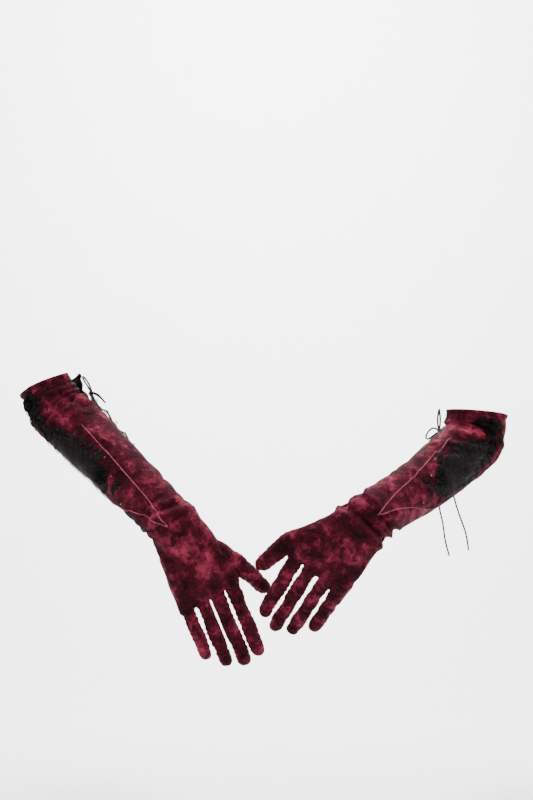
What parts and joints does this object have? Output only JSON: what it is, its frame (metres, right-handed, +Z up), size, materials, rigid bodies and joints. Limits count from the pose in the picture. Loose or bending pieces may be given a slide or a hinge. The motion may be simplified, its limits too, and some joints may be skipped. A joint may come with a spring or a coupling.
{
  "type": "opera gloves",
  "caption": "Pair of elbow-length velvet opera gloves, laced at the inner arm, with net, leaf and rose applique, posed with folded hands.",
  "frame": {"origin": "middle of the right glove's arm opening", "axes": "+X from the right glove to the left glove, +Z up the arms, the backs of the hands face -Y"},
  "size_m": [0.639, 0.2251, 0.3701],
  "materials": {
    "velvet": "crushed velvet, wine red, patchy sheen",
    "lining": "dark matt lining",
    "piping": "rose satin piping",
    "net": "fine black net",
    "embroidery": "black embroidery thread",
    "bead": "small cut glass bead",
    "lace": "black scalloped lace",
    "cord": "black satin cord"
  },
  "bodies": {
    "right_sleeve": {"right_sleeve_back_panel": "velvet", "right_sleeve_gore_panel": "velvet", "right_sleeve_inner_panel": "velvet", "right_sleeve_under_panel": "velvet", "right_hem_facing": "lining", "right_piping": "piping", "right_net_panel": "net", "right_leaf_garland": "embroidery", "right_elbow_sprig": "embroidery", "right_rose_motif": "embroidery", "right_beads": "bead", "right_lace_edging_inner": "lace", "right_lace_edging_under": "lace", "right_lacing_loops": "cord", "right_lacing_cord_lower": "cord", "right_lacing_cord_upper": "cord", "right_bow_knot": "cord", "right_bow_loops": "cord", "right_cord_tail_1": "cord", "right_cord_tail_2": "cord"},
    "right_hand": {"right_back_of_hand": "velvet", "right_palm": "velvet", "right_thumb_gusset": "velvet"},
    "right_thumb": {"right_thumb_stall": "velvet"},
    "right_index": {"right_index_stall": "velvet"},
    "right_middle": {"right_middle_stall": "velvet"},
    "right_ring": {"right_ring_stall": "velvet"},
    "right_little": {"right_little_stall": "velvet"},
    "left_sleeve": {"left_sleeve_back_panel": "velvet", "left_sleeve_gore_panel": "velvet", "left_sleeve_inner_panel": "velvet", "left_sleeve_under_panel": "velvet", "left_hem_facing": "lining", "left_piping": "piping", "left_net_panel": "net", "left_leaf_garland": "embroidery", "left_elbow_sprig": "embroidery", "left_rose_motif": "embroidery", "left_beads": "bead", "left_lace_edging_inner": "lace", "left_lace_edging_under": "lace", "left_lacing_loops": "cord", "left_lacing_cord_lower": "cord", "left_lacing_cord_upper": "cord", "left_bow_knot": "cord", "left_bow_loops": "cord", "left_cord_tail_1": "cord", "left_cord_tail_2": "cord"},
    "left_hand": {"left_back_of_hand": "velvet", "left_palm": "velvet", "left_thumb_gusset": "velvet"},
    "left_thumb": {"left_thumb_stall": "velvet"},
    "left_index": {"left_index_stall": "velvet"},
    "left_middle": {"left_middle_stall": "velvet"},
    "left_ring": {"left_ring_stall": "velvet"},
    "left_little": {"left_little_stall": "velvet"}
  },
  "joints": [
    {"name": "left_glove_apart", "type": "slide", "parent": "right_sleeve", "child": "left_sleeve", "axis": [0, -1, 0], "range_m": [0, 0.25]},
    {"name": "right_wrist_bend", "type": "hinge", "parent": "right_sleeve", "child": "right_hand", "pos_m": [0.167, -0.118, -0.175], "axis": [0.808, 0, 0.5892], "range_deg": [-3, 26]},
    {"name": "right_thumb_bend", "type": "hinge", "parent": "right_hand", "child": "right_thumb", "pos_m": [0.249, -0.11, -0.227], "axis": [0.6727, 0, 0.7399], "range_deg": [-4, 20]},
    {"name": "right_index_bend", "type": "hinge", "parent": "right_hand", "child": "right_index", "pos_m": [0.244, -0.118, -0.26], "axis": [0.9243, 0, 0.3818], "range_deg": [-8, 35]},
    {"name": "right_middle_bend", "type": "hinge", "parent": "right_hand", "child": "right_middle", "pos_m": [0.225, -0.118, -0.27], "axis": [0.9243, 0, 0.3818], "range_deg": [-8, 35]},
    {"name": "right_ring_bend", "type": "hinge", "parent": "right_hand", "child": "right_ring", "pos_m": [0.207, -0.118, -0.281], "axis": [0.9207, 0, 0.3903], "range_deg": [-8, 35]},
    {"name": "right_little_bend", "type": "hinge", "parent": "right_hand", "child": "right_little", "pos_m": [0.19, -0.118, -0.294], "axis": [0.9243, 0, 0.3818], "range_deg": [-8, 35]},
    {"name": "left_wrist_bend", "type": "hinge", "parent": "left_sleeve", "child": "left_hand", "pos_m": [0.416, -0.15, -0.162], "axis": [0.6262, 0, -0.7797], "range_deg": [-26, 4]},
    {"name": "left_thumb_bend", "type": "hinge", "parent": "left_hand", "child": "left_thumb", "pos_m": [0.312, -0.149, -0.195], "axis": [0.6603, 0, -0.751], "range_deg": [-18, 4]},
    {"name": "left_index_bend", "type": "hinge", "parent": "left_hand", "child": "left_index", "pos_m": [0.318, -0.146, -0.221], "axis": [0.871, 0, -0.4913], "range_deg": [-20, 3]},
    {"name": "left_middle_bend", "type": "hinge", "parent": "left_hand", "child": "left_middle", "pos_m": [0.334, -0.146, -0.237], "axis": [0.8614, 0, -0.508], "range_deg": [-15, 22]},
    {"name": "left_ring_bend", "type": "hinge", "parent": "left_hand", "child": "left_ring", "pos_m": [0.35, -0.146, -0.253], "axis": [0.8575, 0, -0.5145], "range_deg": [-15, 22]},
    {"name": "left_little_bend", "type": "hinge", "parent": "left_hand", "child": "left_little", "pos_m": [0.366, -0.145, -0.268], "axis": [0.8517, 0, -0.5241], "range_deg": [-15, 22]}
  ]
}
